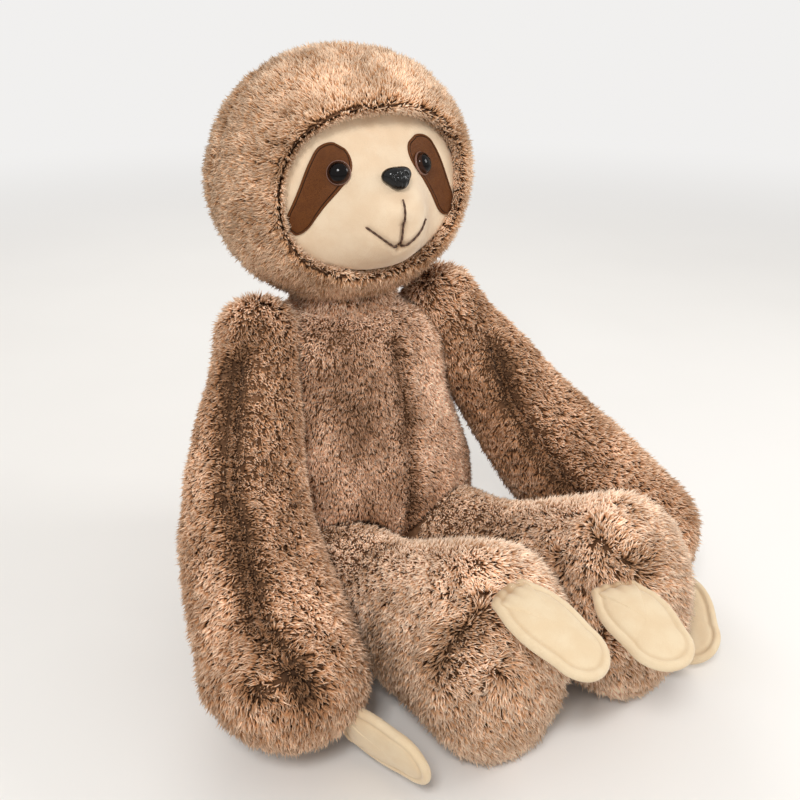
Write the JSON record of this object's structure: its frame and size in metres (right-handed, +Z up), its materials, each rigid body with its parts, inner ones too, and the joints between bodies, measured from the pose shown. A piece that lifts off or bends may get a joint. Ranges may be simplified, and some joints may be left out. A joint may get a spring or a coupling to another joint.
{
  "type": "plush sloth",
  "caption": "Seated plush sloth in two-tone fur, with a cream face, safety eyes, swinging arms and legs, soft flapping claws and a head that turns and nods.",
  "frame": {"origin": "the middle of the flat seat under the torso, on the surface the toy sits on", "axes": "+Z up, -Y the way that the torso and the face look, +X towards the sloth's own left"},
  "size_m": [0.5875, 0.5975, 0.614],
  "materials": {
    "fur": "two-tone brown faux fur, dark at the roots",
    "stuffing": "polyester fibre stuffing",
    "face_plush": "short smooth cream plush",
    "claw_plush": "short smooth cream plush",
    "leatherette": "satin brown leatherette",
    "eye_plastic": "polished, brown with a black pupil",
    "nose_plastic": "glossy black, finely grained",
    "washer_plastic": "white moulded plastic",
    "thread": "dark brown sewing thread"
  },
  "bodies": {
    "torso": {"torso_cover": "fur", "torso_stuffing": "stuffing"},
    "neck": {"neck_stuffing": "stuffing"},
    "head": {"head_cover": "fur", "head_stuffing": "stuffing", "face_panel": "face_plush", "face_stuffing": "stuffing", "right_eye_patch": "leatherette", "left_eye_patch": "leatherette", "right_eye": "eye_plastic", "left_eye": "eye_plastic", "right_eye_washer": "washer_plastic", "left_eye_washer": "washer_plastic", "nose": "nose_plastic", "nose_washer": "washer_plastic", "mouth_upright_stitch": "thread", "mouth_right_stitch": "thread", "mouth_left_stitch": "thread"},
    "right_arm": {"right_arm_cover": "fur", "right_arm_stuffing": "stuffing"},
    "right_leg": {"right_leg_cover": "fur", "right_leg_stuffing": "stuffing"},
    "right_hand_claw": {"right_hand_claw_cover": "claw_plush", "right_hand_claw_stuffing": "stuffing"},
    "right_foot_claw": {"right_foot_claw_cover": "claw_plush", "right_foot_claw_stuffing": "stuffing"},
    "left_arm": {"left_arm_cover": "fur", "left_arm_stuffing": "stuffing"},
    "left_leg": {"left_leg_cover": "fur", "left_leg_stuffing": "stuffing"},
    "left_hand_claw": {"left_hand_claw_cover": "claw_plush", "left_hand_claw_stuffing": "stuffing"},
    "left_foot_claw": {"left_foot_claw_cover": "claw_plush", "left_foot_claw_stuffing": "stuffing"}
  },
  "joints": [
    {"name": "neck_turn", "type": "hinge", "parent": "torso", "child": "neck", "pos_m": [0, 0.024, 0.35], "axis": [0, 0, 1], "range_deg": [-40, 40], "stiffness_Nm_per_rad": 2},
    {"name": "neck_nod", "type": "hinge", "parent": "neck", "child": "head", "pos_m": [0, 0.024, 0.35], "axis": [1, 0, 0], "range_deg": [-12, 12], "stiffness_Nm_per_rad": 6},
    {"name": "right_shoulder_swing", "type": "hinge", "parent": "torso", "child": "right_arm", "pos_m": [-0.113, 0, 0.33], "axis": [1, 0, 0], "range_deg": [-95, 0]},
    {"name": "right_hip_swing", "type": "hinge", "parent": "torso", "child": "right_leg", "pos_m": [-0.07, -0.085, 0.0675], "axis": [1, 0, 0], "range_deg": [-7, 5]},
    {"name": "left_shoulder_swing", "type": "hinge", "parent": "torso", "child": "left_arm", "pos_m": [0.113, 0, 0.33], "axis": [0.866, 0.5, 0], "range_deg": [-95, 0]},
    {"name": "left_hip_swing", "type": "hinge", "parent": "torso", "child": "left_leg", "pos_m": [0.07, -0.085, 0.0675], "axis": [1, 0, 0], "range_deg": [-7, 5]},
    {"name": "right_hand_claw_flap", "type": "hinge", "parent": "right_arm", "child": "right_hand_claw", "pos_m": [-0.15787, -0.27283, 0.04589], "axis": [0.2718, 0.0142, -0.9622], "range_deg": [-8, 20], "stiffness_Nm_per_rad": 0.3},
    {"name": "right_foot_claw_flap", "type": "hinge", "parent": "right_leg", "child": "right_foot_claw", "pos_m": [-0.03285, -0.34767, 0.19058], "axis": [0.9272, 0.3746, 0], "range_deg": [-30, 8], "stiffness_Nm_per_rad": 0.3},
    {"name": "left_hand_claw_flap", "type": "hinge", "parent": "left_arm", "child": "left_hand_claw", "pos_m": [0.25754, -0.26215, 0.05374], "axis": [0.7806, -0.475, 0.4062], "range_deg": [-10, 20], "stiffness_Nm_per_rad": 0.3},
    {"name": "left_foot_claw_flap", "type": "hinge", "parent": "left_leg", "child": "left_foot_claw", "pos_m": [0.08719, -0.35129, 0.15582], "axis": [0.9903, -0.1392, 0], "range_deg": [-30, 8], "stiffness_Nm_per_rad": 0.3}
  ]
}
